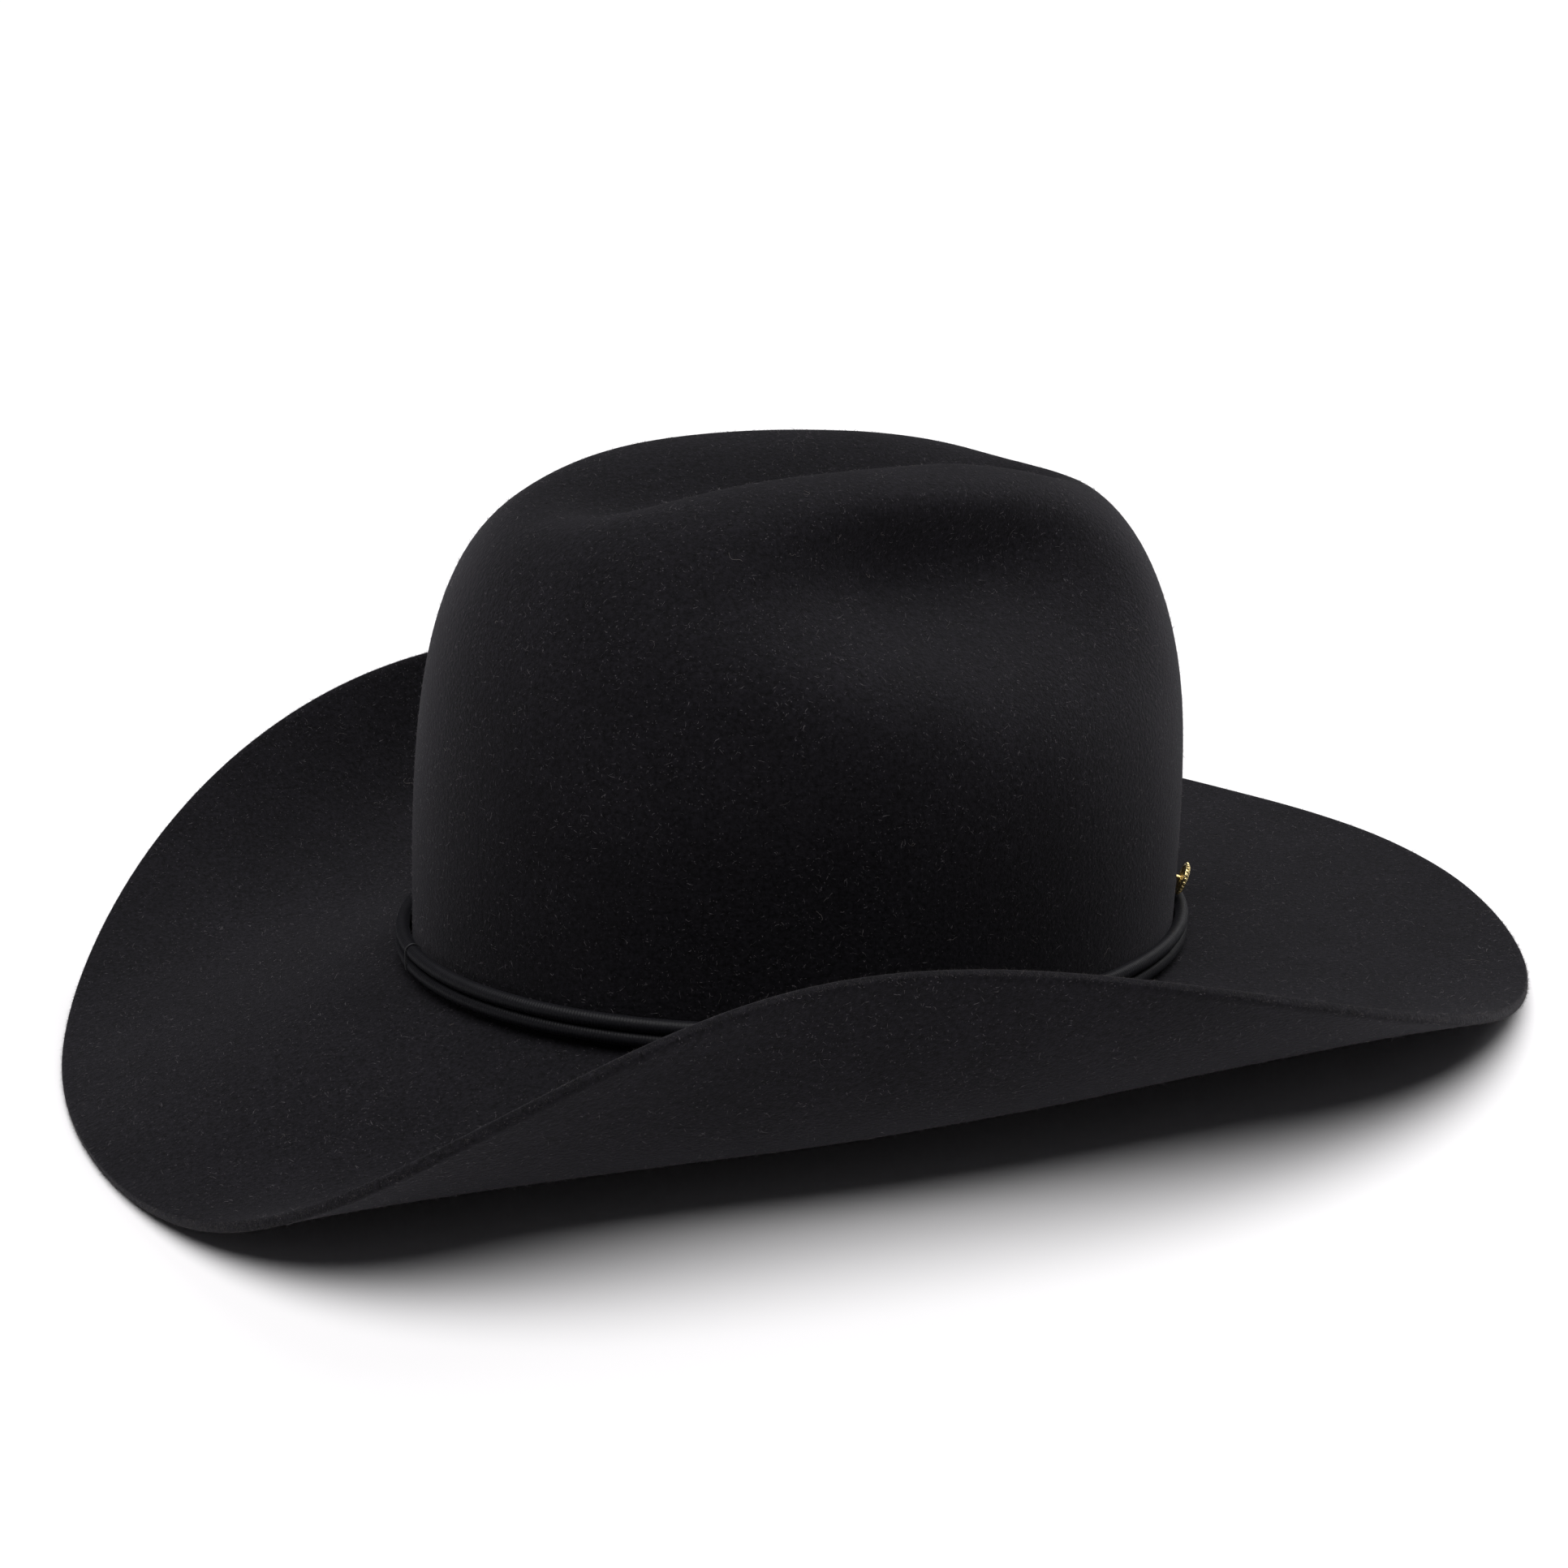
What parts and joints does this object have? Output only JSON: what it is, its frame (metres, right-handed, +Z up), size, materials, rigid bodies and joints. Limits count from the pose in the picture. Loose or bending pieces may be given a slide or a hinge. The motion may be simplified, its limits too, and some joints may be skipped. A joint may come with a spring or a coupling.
{
  "type": "cowboy hat",
  "caption": "Black fur felt cowboy hat with a creased crown, rolled side brims, twin-cord band, small gold star ornament, leather sweatband and satin liner.",
  "frame": {"origin": "on the ground, under the middle of the hat's bounding box, with the hat standing on the front and back of its brim", "axes": "+X towards the hat's front, +Y towards the wearer's left, +Z up"},
  "size_m": [0.398, 0.3472, 0.1486],
  "materials": {
    "black_felt": "fur felt, brushed nap, soft grazing sheen",
    "band_grosgrain": "ribbed grosgrain, dull silk sheen",
    "filler_cotton": "twisted cotton filler cord",
    "black_thread": "waxed sewing thread",
    "sweatband_leather": "smooth roan leather, satin",
    "seam_tape": "woven tape",
    "reed_tape": "oiled cotton tape",
    "reed_plastic": "extruded rod",
    "sweatband_thread": "sewing thread",
    "bow_ribbon": "satin ribbon",
    "label_cloth": "blank woven label",
    "liner_satin": "satin lining cloth",
    "piping_cord": "covered piping cord",
    "clear_vinyl": "clear film",
    "gold_plate": "cast, gold plated, polished high spots"
  },
  "bodies": {
    "hat": {"felt_body": "black_felt", "lower_band_cord": "band_grosgrain", "upper_band_cord": "band_grosgrain", "lower_band_filler": "filler_cotton", "upper_band_filler": "filler_cotton", "band_keeper": "band_grosgrain", "band_tack_1": "black_thread", "band_tack_2": "black_thread", "band_tack_3": "black_thread", "sweatband_leather": "sweatband_leather", "sweatband_seam_tape": "seam_tape", "reed_tape": "reed_tape", "sweatband_reed": "reed_plastic", "sweatband_stitching": "sweatband_thread", "sweatband_bow": "bow_ribbon", "size_label": "label_cloth", "liner_side": "liner_satin", "liner_tip": "liner_satin", "liner_piping": "piping_cord", "liner_shield": "clear_vinyl", "liner_label": "label_cloth"},
    "ornament": {"star_ornament": "gold_plate", "ornament_post": "gold_plate", "ornament_clutch": "gold_plate"}
  },
  "joints": [
    {"name": "ornament_turn", "type": "hinge", "parent": "hat", "child": "ornament", "pos_m": [0.10045, -0.03189, 0.02228], "axis": [0.8373, -0.397, -0.3759], "continuous": true}
  ]
}
